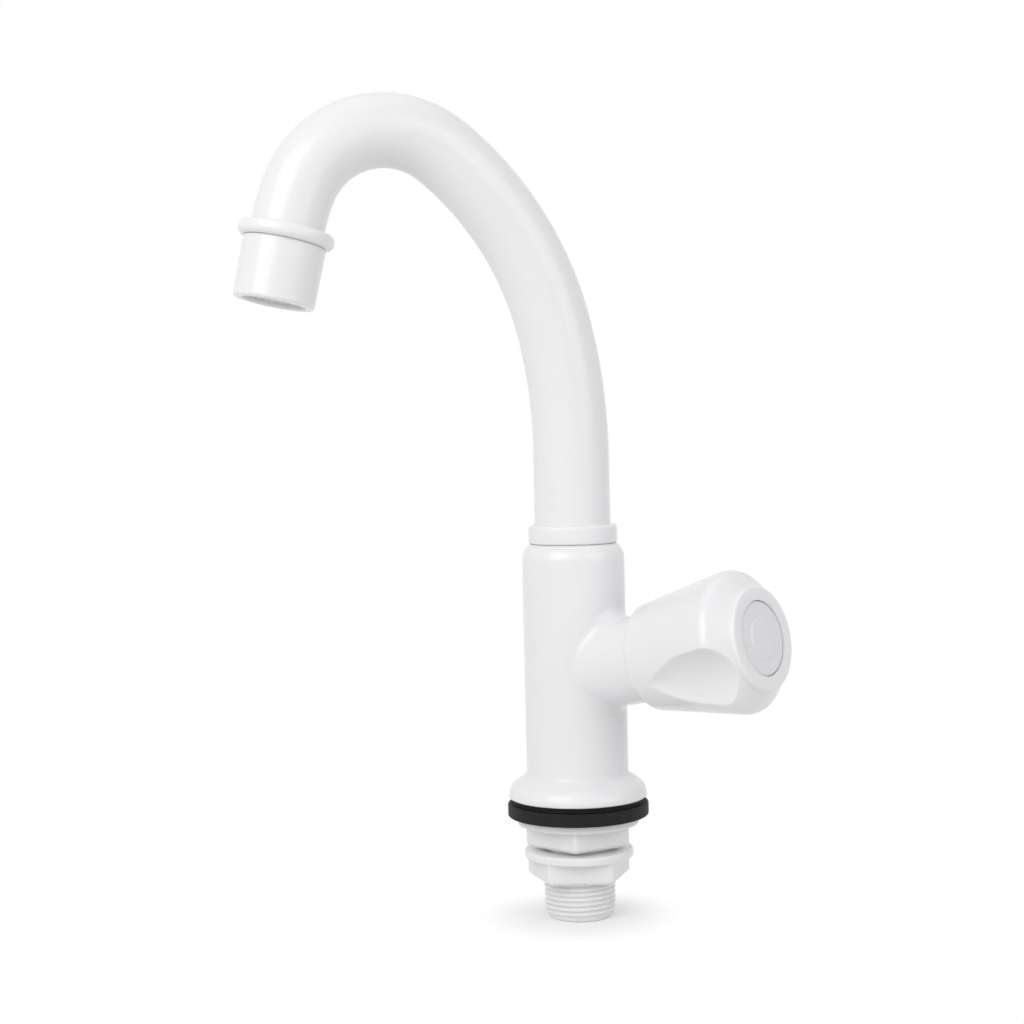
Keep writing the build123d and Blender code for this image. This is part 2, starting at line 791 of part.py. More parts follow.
def slotted_screw(head_face, towards, head_radius, head_height, shank_radius, shank_length):
    """Slotted screw on the branch's axis; towards is +1 where the shank runs away from the knob's face."""
    with BuildPart(mode=Mode.PRIVATE) as screw:
        start = head_face
        under = head_face - towards * head_height
        tip = under - towards * shank_length
        points = [
            (0, start),
            (head_radius, start),
            (head_radius, under),
            (shank_radius, under),
            (shank_radius, tip + towards * shank_radius / 2),
            (shank_radius / 2, tip),
            (0, tip),
        ]
        add(profile(branch_turning, points))
        revolve(axis=branch_axis)
        fillet(branch_edge_at(screw, head_radius, start), head_height * screw_edge_share)
        with BuildSketch(branch_plane.offset(head_face)):
            Rectangle(2 * head_radius, screw_slot_width, rotation=knob_turn)
        extrude(amount=-towards * screw_slot_depth, mode=Mode.SUBTRACT)
    return screw.part


washer_screw_face = washer_start - washer_screw_head_height
write(
    slotted_screw(
        washer_screw_face,
        -1,
        washer_screw_head_radius,
        washer_screw_head_height,
        washer_screw_radius - running_gap,
        washer_screw_length,
    ),
    "washer_screw",
)


# Knob
def scoop_cutter(angle):
    """Cutter for a finger scoop: circles that widen from its tip and then run on past the rim."""
    outward = branch_plane.x_dir.rotate(branch_axis, angle)
    sections = []
    for place, floor, radius in scoop_sections:
        centre = branch_origin + branch_direction * place + outward * (floor + radius)
        across = Plane(origin=centre, x_dir=outward, z_dir=branch_direction)
        with BuildSketch(across, mode=Mode.PRIVATE) as section:
            Circle(radius)
        sections.append(section.sketch.faces()[0])
    return loft(sections, ruled=True, mode=Mode.PRIVATE)


cap_seat = knob_end - cap_recess - cap_thickness
screw_head_seat = spindle_end + knob_hub_web
with BuildPart() as knob:
    add(profile(branch_turning, [
        (0, knob_start),
        (knob_base_radius, knob_start),
        (knob_rim_radius, knob_rim_place),
        (knob_bezel_radius, knob_bezel_start),
        (knob_bezel_radius, knob_end),
        (0, knob_end),
    ]))
    revolve(axis=branch_axis)
    fillet(branch_edge_at(knob, knob_rim_radius, knob_rim_place), knob_rim_round)
    fillet(branch_edge_at(knob, knob_base_radius, knob_start), knob_base_edge)
    fillet(branch_edge_at(knob, knob_bezel_radius, knob_end), knob_bezel_edge)
    for index in range(knob_scoops):
        add(scoop_cutter(knob_turn + index * 360 / knob_scoops), mode=Mode.SUBTRACT)
    # hollow back with the hub in its middle
    with BuildSketch(branch_plane.offset(knob_start)):
        Circle(knob_cavity_radius)
    extrude(amount=knob_hub_start - knob_start, mode=Mode.SUBTRACT)
    with BuildSketch(branch_plane.offset(knob_hub_start)):
        Circle(knob_cavity_radius)
        Circle(knob_hub_radius, mode=Mode.SUBTRACT)
        with PolarLocations(0, knob_ribs, start_angle=knob_turn):
            Rectangle(2 * knob_base_radius, knob_rib_width, mode=Mode.SUBTRACT)
    extrude(amount=knob_cavity_end - knob_hub_start, mode=Mode.SUBTRACT)
    # square for the spindle, screw hole, pocket and the cap's recess
    with BuildSketch(branch_plane.offset(knob_hub_start)) as square:
        side = spindle_square + 2 * running_gap
        Rectangle(side, side, rotation=knob_turn)
        fillet(square.vertices(), spindle_square_round - running_gap)
    extrude(amount=spindle_end + loose_gap - knob_hub_start, mode=Mode.SUBTRACT)
    with BuildSketch(branch_plane.offset(knob_hub_start)):
        Circle(knob_screw_radius + 2 * loose_gap)
    extrude(amount=cap_seat - knob_hub_start, mode=Mode.SUBTRACT)
    with BuildSketch(branch_plane.offset(screw_head_seat)):
        Circle(knob_pocket_radius)
    extrude(amount=knob_end - screw_head_seat, mode=Mode.SUBTRACT)
    with BuildSketch(branch_plane.offset(cap_seat)):
        Circle(cap_radius + loose_gap)
    extrude(amount=knob_end - cap_seat, mode=Mode.SUBTRACT)
write(knob.part, "knob")

write(
    slotted_screw(
        screw_head_seat + knob_screw_head_height,
        1,
        knob_screw_head_radius,
        knob_screw_head_height,
        knob_screw_radius,
        knob_screw_length,
    ),
    "knob_screw",
)

with BuildPart() as knob_cap:
    cap_face = knob_end - cap_recess
    add(profile(branch_turning, [
        (0, cap_seat),
        (cap_plug_radius - cap_plug_wall, cap_seat),
        (cap_plug_radius - cap_plug_wall, cap_seat - cap_plug_length),
        (cap_plug_radius, cap_seat - cap_plug_length),
        (cap_plug_radius, cap_seat),
        (cap_radius, cap_seat),
        (cap_radius, cap_face),
        (cap_ring_radius, cap_face),
        (cap_ring_radius, cap_face + cap_ring_height),
        (0, cap_face + cap_ring_height),
    ]))
    revolve(axis=branch_axis)
    fillet(branch_edge_at(knob_cap, cap_radius, cap_face), cap_edge)
    fillet(branch_edge_at(knob_cap, cap_ring_radius, cap_face + cap_ring_height), cap_ring_edge)
write(knob_cap.part, "knob_cap")

print("outlet point", outlet_point, "direction", outlet_direction)
print("branch direction", branch_direction)
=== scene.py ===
"""Looks of a plastic pillar tap with a swan-neck swivel spout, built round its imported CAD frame.

Sizes are millimetres in the row frame, as in the CAD: +Z is up the column, the origin is on the column's
axis at the deck plane, and the spout at rest points along -X. Meshes are scaled to metres when made.
"""

import logging
import math
from dataclasses import dataclass, field
from enum import Enum
from typing import Optional, Sequence, Union

import bmesh
import bpy
import numpy as np
from mathutils import Matrix, Vector


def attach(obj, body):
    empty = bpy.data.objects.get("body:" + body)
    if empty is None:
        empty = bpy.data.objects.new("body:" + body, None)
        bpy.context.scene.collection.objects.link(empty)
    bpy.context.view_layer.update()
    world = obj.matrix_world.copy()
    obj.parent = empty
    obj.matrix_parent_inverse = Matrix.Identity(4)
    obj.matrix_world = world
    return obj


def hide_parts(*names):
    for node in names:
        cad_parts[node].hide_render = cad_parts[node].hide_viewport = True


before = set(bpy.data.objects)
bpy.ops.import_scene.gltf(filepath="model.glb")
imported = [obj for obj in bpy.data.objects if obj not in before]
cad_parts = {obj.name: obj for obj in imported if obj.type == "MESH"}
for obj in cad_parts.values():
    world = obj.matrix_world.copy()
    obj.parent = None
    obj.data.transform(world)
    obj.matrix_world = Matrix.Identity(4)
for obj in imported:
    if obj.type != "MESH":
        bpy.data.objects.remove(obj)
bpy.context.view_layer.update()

MM = 0.001
FULL_TURN = 2 * math.pi
SHARP_ANGLE = math.radians(38)
NEARLY_STRAIGHT = math.radians(179)
NEARLY_HALF = 0.499
HAIR = 0.01
WELD_DISTANCE = 1e-7
COLLAPSE_DISTANCE = 1e-8
log = logging.getLogger("pillar_tap")

Triple = tuple[float, float, float]
Corner = tuple[float, float, float]
Colour = tuple[float, float, float]


class Coupling(Enum):
    """Which CAD body a piece moves with."""

    TAP = "tap_body"
    SPOUT = "swivel_spout"
    HANDLE = "handle"
    CLAMP = "clamp_backnut"
    LOCK = "lock_backnut"


class Value:
    """A node socket that carries a number, with Python's operators as Math nodes."""

    def __init__(self, web: "Web", socket: bpy.types.NodeSocket) -> None:
        """Keeps the tree's helper and the socket.

        Args:
            web: the tree that the socket belongs to.
            socket: an output socket.
        """
        self.web = web
        self.socket = socket

    def _math(self, operation: str, left: object, right: object = None) -> "Value":
        """Adds a Math node.

        Args:
            operation: the node's operation.
            left: first operand, a value or a number.
            right: second operand, if the operation has one.

        Returns:
            The node's result.
        """
        operands = [item for item in (left, right) if item is not None]
        node = self.web.add("ShaderNodeMath", {"operation": operation}, dict(enumerate(operands)))
        return Value(self.web, node.outputs[0])

    def __add__(self, other: object) -> "Value":
        """self + other."""
        return self._math("ADD", self, other)

    def __radd__(self, other: object) -> "Value":
        """other + self."""
        return self._math("ADD", other, self)

    def __sub__(self, other: object) -> "Value":
        """self - other."""
        return self._math("SUBTRACT", self, other)

    def __rsub__(self, other: object) -> "Value":
        """other - self."""
        return self._math("SUBTRACT", other, self)

    def __mul__(self, other: object) -> "Value":
        """self * other."""
        return self._math("MULTIPLY", self, other)

    def __rmul__(self, other: object) -> "Value":
        """other * self."""
        return self._math("MULTIPLY", other, self)

    def __truediv__(self, other: object) -> "Value":
        """self / other."""
        return self._math("DIVIDE", self, other)

    def __mod__(self, other: object) -> "Value":
        """self modulo other."""
        return self._math("MODULO", self, other)

    def floor(self) -> "Value":
        """Whole part of the value."""
        return self._math("FLOOR", self)

    def cosine(self) -> "Value":
        """Cosine of the value in radians."""
        return self._math("COSINE", self)

    def sine(self) -> "Value":
        """Sine of the value in radians."""
        return self._math("SINE", self)

    def most(self, other: object) -> "Value":
        """The greater of two values.

        Args:
            other: a value or a number.

        Returns:
            The greater of self and other.
        """
        return self._math("MAXIMUM", self, other)

    def spread(self, low: float, high: float) -> "Value":
        """Brings a 0 to 1 value to another range.

        Args:
            low: what 0 becomes.
            high: what 1 becomes.

        Returns:
            The value in its new range.
        """
        return self * (high - low) + low


class Web:
    """A node tree, with methods that add nodes."""

    def __init__(self, tree: bpy.types.NodeTree) -> None:
        """Keeps the tree and empties it.

        Args:
            tree: the tree to build in.
        """
        self.tree = tree
        tree.nodes.clear()

    def add(
        self, kind: str, settings: Optional[dict] = None, sockets: Optional[dict] = None,
    ) -> bpy.types.Node:
        """Adds a node.

        Args:
            kind: the node's type name.
            settings: its own settings, set before the sockets.
            sockets: input name or number to a value, a Value or an output socket.

        Returns:
            The node.
        """
        node = self.tree.nodes.new(kind)
        for key, value in (settings or {}).items():
            setattr(node, key, value)
        for key, value in (sockets or {}).items():
            socket = node.inputs[key]
            if isinstance(value, Value):
                self.tree.links.new(value.socket, socket)
            elif isinstance(value, bpy.types.NodeSocket):
                self.tree.links.new(value, socket)
            else:
                socket.default_value = value
        return node

    def value(
        self, kind: str, settings: Optional[dict] = None, sockets: Optional[dict] = None,
        out: Union[int, str] = 0,
    ) -> Value:
        """Adds a node and returns one of its outputs as a Value.

        Args:
            kind: the node's type name.
            settings: its own settings.
            sockets: its input values.
            out: the output's name or number.

        Returns:
            The output.
        """
        return Value(self, self.add(kind, settings, sockets).outputs[out])

    def vector(self, operation: str, first: object, second: object = None) -> bpy.types.NodeSocket:
        """Adds a Vector Math node.

        Args:
            operation: the node's operation.
            first: first operand.
            second: second operand, if there is one, or the factor of SCALE.

        Returns:
            The resulting vector's socket.
        """
        sockets = {0: first}
        if second is not None:
            sockets["Scale" if operation == "SCALE" else 1] = second
        return self.add("ShaderNodeVectorMath", {"operation": operation}, sockets).outputs[0]

    def blend(self, share: object, low: object, high: object) -> bpy.types.NodeSocket:
        """Mixes two colours.

        Args:
            share: how much of the second colour there is, from 0 to 1.
            low: first colour or its socket.
            high: second colour or its socket.

        Returns:
            The mixed colour's socket.
        """
        low, high = ((*end, 1) if isinstance(end, tuple) else end for end in (low, high))
        return self.add("ShaderNodeMix", {"data_type": "RGBA"}, {0: share, 6: low, 7: high}).outputs[2]


@dataclass(frozen=True)
class Pattern:
    """What a surface varies by: its tree, coordinates, broad noise and fine noise."""

    web: Web
    place: bpy.types.NodeSocket
    patches: Value
    fine: Value


@dataclass(frozen=True)
class Finish:
    """A surface whose colour, gloss and relief vary a little, as moulded or cut surfaces do.

    The pattern lies on Object coordinates, so it stays with the piece. Milk is the share of light that goes
    into the surface and comes out near by, up to milk_depth metres away.
    """

    name: str
    colour: Colour
    shade: Colour
    roughness: float
    roughness_spread: float = 0.03
    patch: float = 45.0
    grain: float = 900.0
    relief: float = 0.02
    relief_depth: float = 0.00005
    metallic: float = 0.0
    ior: float = 1.49
    specular: float = 0.5
    milk: float = 0.0
    milk_depth: float = 0.0015

    def material(self) -> bpy.types.Material:
        """Makes the material on first use.

        Returns:
            The material, shared by every piece with this finish.
        """
        look = f"{self.name}_look"
        known = bpy.data.materials.get(look)
        if known:
            return known
        material = bpy.data.materials.new(look)
        material.use_nodes = True
        web = Web(material.node_tree)
        place = web.add("ShaderNodeTexCoord").outputs["Object"]
        patches = web.value("ShaderNodeTexNoise", {}, {
            "Vector": place, "Scale": self.patch, "Detail": 3.0, "Roughness": 0.5,
        })
        fine = web.value("ShaderNodeTexNoise", {}, {
            "Vector": place, "Scale": self.grain, "Detail": 2.0, "Roughness": 0.6,
        })
        pattern = Pattern(web, place, patches, fine)
        smoothest, roughest = self.roughness - self.roughness_spread, self.roughness + self.roughness_spread
        bump = web.add("ShaderNodeBump", {}, {
            "Strength": self.relief, "Distance": self.relief_depth, "Height": self.height(pattern),
        })
        shader = web.add("ShaderNodeBsdfPrincipled", {}, {
            "Base Color": self.tint(pattern),
            "Roughness": (patches * 0.5 + fine * 0.5).spread(smoothest, roughest),
            "Metallic": self.metallic, "IOR": self.ior, "Specular IOR Level": self.specular,
            "Subsurface Weight": self.milk, "Subsurface Radius": (1.0, 1.0, 1.0),
            "Subsurface Scale": self.milk_depth,
            "Normal": bump.outputs[0],
        })
        web.add("ShaderNodeOutputMaterial", {}, {"Surface": shader.outputs[0]})
        return material

    def tint(self, pattern: Pattern) -> bpy.types.NodeSocket:
        """Colour over the surface.

        Args:
            pattern: what the surface varies by.

        Returns:
            A colour socket.
        """
        return pattern.web.blend(pattern.patches * 0.7 + pattern.fine * 0.3, self.colour, self.shade)

    def height(self, pattern: Pattern) -> Value:
        """Relief over the surface: the grain on faint broad waves.

        Args:
            pattern: what the surface varies by.

        Returns:
            The relief.
        """
        return pattern.fine + pattern.patches * 0.6


@dataclass(frozen=True)
class Rubber(Finish):
    """Black rubber with a bloom of paler specks."""

    roughness_spread: float = 0.08
    bloom: Colour = (0.05, 0.05, 0.055)
    speck_scale: float = 0.7
    speck_reach: float = 0.5

    def tint(self, pattern: Pattern) -> bpy.types.NodeSocket:
        """Black with specks of bloom.

        Args:
            pattern: what the surface varies by.

        Returns:
            A colour socket.
        """
        web = pattern.web
        base = web.blend(pattern.patches, self.colour, self.shade)
        specks = web.value("ShaderNodeTexVoronoi", {}, {
            "Vector": pattern.place, "Scale": self.grain * self.speck_scale,
        }, "Distance")
        return web.blend((self.speck_reach - specks).most(0.0) * pattern.fine, base, self.bloom)


@dataclass(frozen=True)
class Brushed(Finish):
    """Cut metal with fine tool marks in rings."""

    roughness_spread: float = 0.08
    grain: float = 1500.0
    relief: float = 0.1
    metallic: float = 1.0

    def height(self, pattern: Pattern) -> Value:
        """Tool marks as close waves.

        Args:
            pattern: what the surface varies by.

        Returns:
            The relief.
        """
        marks = pattern.web.value("ShaderNodeTexWave", {"wave_type": "RINGS"}, {
            "Vector": pattern.place, "Scale": self.grain * 0.6, "Distortion": 1.5,
        }, "Fac")
        return marks + pattern.fine * 0.5


WHITE_PLASTIC = Finish(
    "white_plastic", (0.875, 0.875, 0.885), (0.85, 0.85, 0.86), 0.22,
    patch=35.0, grain=700.0, relief=0.03, milk=0.45, milk_depth=0.0025,
)
CAP_PLASTIC = Finish(
    "cap_plastic", (0.82, 0.815, 0.84), (0.795, 0.79, 0.815), 0.30,
    patch=60.0, grain=1200.0, relief=0.04, milk=0.2,
)
NUT_PLASTIC = Finish(
    "nut_plastic", (0.875, 0.873, 0.865), (0.845, 0.843, 0.835), 0.34,
    patch=70.0, grain=1100.0, relief=0.06, milk=0.75, milk_depth=0.004,
)
AERATOR_PLASTIC = Finish(
    "aerator_plastic", (0.80, 0.80, 0.81), (0.75, 0.75, 0.76), 0.40, patch=90.0, grain=1300.0, relief=0.05,
)
SLIP_PLASTIC = Finish(
    "slip_plastic", (0.70, 0.69, 0.64), (0.62, 0.61, 0.57), 0.42, patch=90.0, grain=1200.0, relief=0.05,
)
WASHER_RUBBER = Rubber(
    "washer_rubber", (0.008, 0.008, 0.008), (0.014, 0.014, 0.015), 0.60,
    specular=0.2, bloom=(0.03, 0.03, 0.033), patch=80.0, grain=1400.0, relief=0.25,
)
SEAL_RUBBER = Rubber(
    "seal_rubber", (0.010, 0.010, 0.010), (0.022, 0.021, 0.020), 0.55, patch=120.0, grain=1800.0, relief=0.2,
)
SCREEN_STEEL = Brushed("screen_steel", (0.62, 0.62, 0.61), (0.52, 0.52, 0.52), 0.30)
SPRING_STEEL = Brushed("spring_steel", (0.58, 0.58, 0.60), (0.46, 0.46, 0.48), 0.26)
SCREW_BRASS = Brushed("screw_brass", (0.72, 0.55, 0.26), (0.62, 0.44, 0.18), 0.28, grain=1400.0)


@dataclass(frozen=True)
class TurningAxis:
    """An axis that pieces are turned about, with the directions that angles are measured from."""

    origin: Triple
    along: Triple
    side: Triple

    def points(self, radius: np.ndarray, angle: np.ndarray, place: np.ndarray) -> np.ndarray:
        """Row-frame points from cylindrical ones.

        Args:
            radius: distances from the axis, millimetres.
            angle: angles from the side direction, radians.
            place: places along the axis, millimetres.

        Returns:
            Points, with a last dimension of 3.
        """
        along = np.array(self.along)
        side = np.array(self.side)
        third = np.cross(along, side)
        turned = np.cos(angle)[..., None] * side + np.sin(angle)[..., None] * third
        return np.array(self.origin) + radius[..., None] * turned + place[..., None] * along


def direction(heading: float, tilt: float) -> Triple:
    """Unit vector of a slanted axis.

    Args:
        heading: turn round +Z from +X, degrees.
        tilt: rise above the horizon, degrees.

    Returns:
        The vector.
    """
    heading, tilt = math.radians(heading), math.radians(tilt)
    return (math.cos(heading) * math.cos(tilt), math.sin(heading) * math.cos(tilt), math.sin(tilt))


BRANCH_HEADING, BRANCH_TILT, BRANCH_HEIGHT = -58.7, 11.3, 53.7
COLUMN = TurningAxis((0, 0, 0), (0, 0, 1), (1, 0, 0))
BRANCH = TurningAxis(
    (0, 0, BRANCH_HEIGHT), direction(BRANCH_HEADING, BRANCH_TILT), direction(BRANCH_HEADING + 90, 0),
)
OUTLET = TurningAxis((-104.668, 0, 215.501), (-0.218143, 0, -0.975917), (0, 1, 0))


def soften(corners: Sequence[Corner], closed: bool = True, step: float = 12.0) -> np.ndarray:
    """Outline with rounded corners.

    Args:
        corners: radius, place and rounding of each corner.
        closed: whether the last corner joins the first.
        step: largest turn between two points of a rounding, degrees.

    Returns:
        Points of radius and place.
    """
    count = len(corners)
    found = []
    for index, (radius, place, rounding) in enumerate(corners):
        here = np.array([radius, place], float)
        ends = not closed and index in (0, count - 1)
        if rounding <= 0 or ends:
            found.append(here)
            continue
        before = np.array(corners[index - 1][:2], float) - here
        after = np.array(corners[(index + 1) % count][:2], float) - here
        first, second = before / np.linalg.norm(before), after / np.linalg.norm(after)
        opening = math.acos(float(np.clip(first @ second, -1, 1)))
        if opening > NEARLY_STRAIGHT:
            found.append(here)
            continue
        room = NEARLY_HALF * min(np.linalg.norm(before), np.linalg.norm(after))
        reach = min(rounding / math.tan(opening / 2), room)
        real = reach * math.tan(opening / 2)
        bisector = (first + second) / np.linalg.norm(first + second)
        centre = here + bisector * real / math.sin(opening / 2)
        start, end = here + first * reach - centre, here + second * reach - centre
        turn = math.pi - opening
        pieces = max(2, math.ceil(math.degrees(turn) / step))
        for share in np.linspace(0, 1, pieces + 1):
            mixed = (math.sin((1 - share) * turn) * start + math.sin(share * turn) * end) / math.sin(turn)
            found.append(centre + mixed)
    return np.array(found)


def spaced(outline: np.ndarray, longest: float, closed: bool = True) -> np.ndarray:
    """Outline with no run longer than a given length.

    Args:
        outline: points of radius and place.
        longest: longest run to keep.
        closed: whether the last point joins the first.

    Returns:
        The outline with points added.
    """
    found = []
    count = len(outline)
    for index in range(count if closed else count - 1):
        start, end = outline[index], outline[(index + 1) % count]
        pieces = max(1, math.ceil(float(np.linalg.norm(end - start)) / longest))
        found.extend(start + (end - start) * share for share in np.arange(pieces) / pieces)
    if not closed:
        found.append(outline[-1])
    return np.array(found)


def placed(name: str, data: bpy.types.ID) -> bpy.types.Object:
    """Makes an object and links it to the scene.

    Args:
        name: the object's name.
        data: its mesh, curve, camera or light.

    Returns:
        The object.
    """
    made = bpy.data.objects.new(name, data)
    bpy.context.scene.collection.objects.link(made)
    return made


def smooth_outwards(mesh: bpy.types.Mesh, weld: bool) -> None:
    """Turns a closed mesh's faces outwards and makes it smooth but for its sharp corners.

    Args:
        mesh: the mesh.
        weld: whether points that meet are joined and faces without area dropped.
    """
    made = bmesh.new()
    made.from_mesh(mesh)
    if weld:
        bmesh.ops.remove_doubles(made, verts=made.verts, dist=WELD_DISTANCE)
        bmesh.ops.dissolve_degenerate(made, edges=made.edges, dist=COLLAPSE_DISTANCE)
    if made.calc_volume(signed=True) < 0:
        bmesh.ops.reverse_faces(made, faces=made.faces)
    made.to_mesh(mesh)
    made.free()
    mesh.shade_smooth()
    mesh.set_sharp_from_angle(angle=SHARP_ANGLE)


def rings(outline: np.ndarray, steps: int) -> tuple[np.ndarray, np.ndarray, np.ndarray]:
    """Repeats an outline round an axis.

    Args:
        outline: points of radius and place.
        steps: points round each ring.

    Returns:
        The angles in radians, and radius and place by ring and angle.
    """
    angles = np.linspace(0, FULL_TURN, steps, endpoint=False)
    return angles, np.repeat(outline[:, :1], steps, axis=1), np.repeat(outline[:, 1:], steps, axis=1)


def shell(
    axis: TurningAxis, radius: np.ndarray, place: np.ndarray, angles: np.ndarray, name: str,
    closed: bool = True,
) -> bpy.types.Mesh:
    """Shell of rings about an axis.

    Args:
        axis: what the rings lie about.
        radius: radius by ring and angle, millimetres.
        place: place along the axis by ring and angle, millimetres.
        angles: the angles of each ring's points, radians.
        name: the mesh's name.
        closed: whether the last ring joins the first; otherwise both ends lie on the axis.

    Returns:
        The mesh, in metres.
    """
    count, steps = radius.shape
    points = axis.points(radius, np.broadcast_to(angles, radius.shape), place).reshape(-1, 3)
    faces = []
    for ring in range(count if closed else count - 1):
        here, after = ring * steps, (ring + 1) % count * steps
        for step in range(steps):
            beside = (step + 1) % steps
            faces.append((here + step, here + beside, after + beside, after + step))
    mesh = bpy.data.meshes.new(name)
    mesh.from_pydata((points * MM).tolist(), [], faces)
    smooth_outwards(mesh, weld=True)
    return mesh


def turned(
    axis: TurningAxis, outline: np.ndarray, name: str, steps: int, closed: bool = True,
) -> bpy.types.Mesh:
    """Solid of revolution.

    Args:
        axis: what it is turned about.
        outline: points of radius and place.
        name: the mesh's name.
        steps: points round each ring.
        closed: whether the outline is a loop; otherwise both its ends lie on the axis.

    Returns:
        The mesh.
    """
    angles, radius, place = rings(outline, steps)
    return shell(axis, radius, place, angles, name, closed)


def piece(mesh: bpy.types.Mesh, finish: Finish, body: Coupling, slot: str, *nodes: str) -> None:
    """Makes a mesh a finished piece of the tap.

    Args:
        mesh: its mesh, in place.
        finish: what it is made of.
        body: the CAD body that it moves with.
        slot: the record's material slot; not used.
        nodes: the CAD nodes that it stands for.
    """
    made = placed(mesh.name, mesh)
    mesh.materials.clear()
    mesh.materials.append(finish.material())
    weighted = made.modifiers.new("even_shading", "WEIGHTED_NORMAL")
    weighted.keep_sharp = True
    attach(made, body.value)
    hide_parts(*nodes)
    log.info("%s: %d faces on %s", mesh.name, len(mesh.polygons), body.value)


def dress(finish: Finish, *names: str) -> None:
    """Gives CAD nodes that stay a finish.

    Args:
        finish: what they are made of.
        names: the nodes.
    """
    for name in names:
        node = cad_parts[name]
        node.data.materials.clear()
        node.data.materials.append(finish.material())
        log.info("%s: CAD node dressed as %s", name, finish.name)


@dataclass
class NodeRecipe:
    """A geometry tree with named inputs, applied to one object and baked to a plain mesh."""

    name: str
    inputs: Sequence[tuple[str, str, object]]
    web: Web = field(init=False)
    tree: bpy.types.NodeTree = field(init=False)
    start: bpy.types.Node = field(init=False)

    def __post_init__(self) -> None:
        """Makes the tree and its named inputs."""
        self.tree = bpy.data.node_groups.new(self.name, "GeometryNodeTree")
        self.tree.interface.new_socket("Geometry", in_out="INPUT", socket_type="NodeSocketGeometry")
        for name, kind, _ in self.inputs:
            self.tree.interface.new_socket(name, in_out="INPUT", socket_type=kind)
        self.tree.interface.new_socket("Geometry", in_out="OUTPUT", socket_type="NodeSocketGeometry")
        self.web = Web(self.tree)
        self.start = self.web.add("NodeGroupInput")

    def number(self, name: str) -> Value:
        """A named input as a value.

        Args:
            name: the input's name.

        Returns:
            The value.
        """
        return Value(self.web, self.start.outputs[name])

    def finish(self, geometry: bpy.types.NodeSocket) -> None:
        """Ends the tree in real, smooth geometry with its material.

        Args:
            geometry: the shape's socket.
        """
        real = self.web.add("GeometryNodeRealizeInstances", {}, {0: geometry})
        smooth = self.web.add("GeometryNodeSetShadeSmooth", {}, {"Geometry": real.outputs[0]})
        clad = self.web.add("GeometryNodeSetMaterial", {}, {
            "Geometry": smooth.outputs[0], "Material": self.start.outputs["Finish"],
        })
        self.web.add("NodeGroupOutput", {}, {0: clad.outputs[0]})

    def bake(self, mesh: bpy.types.Mesh, name: str) -> bpy.types.Mesh:
        """Runs the tree on a mesh.

        Args:
            mesh: what the tree starts from.
            name: the new mesh's name.

        Returns:
            The result as a plain mesh, turned outwards.
        """
        carrier = placed(self.name, mesh)
        modifier = carrier.modifiers.new(self.name, "NODES")
        modifier.node_group = self.tree
        items = self.tree.interface.items_tree
        sockets = {item.name: item.identifier for item in items if item.in_out == "INPUT"}
        for input_name, _, value in self.inputs:
            modifier[sockets[input_name]] = value
        carrier.update_tag()
        graph = bpy.context.evaluated_depsgraph_get()
        made = bpy.data.meshes.new_from_object(carrier.evaluated_get(graph), depsgraph=graph)
        carrier.modifiers.remove(modifier)
        bpy.data.objects.remove(carrier)
        smooth_outwards(made, weld=False)
        made.name = name
        return made


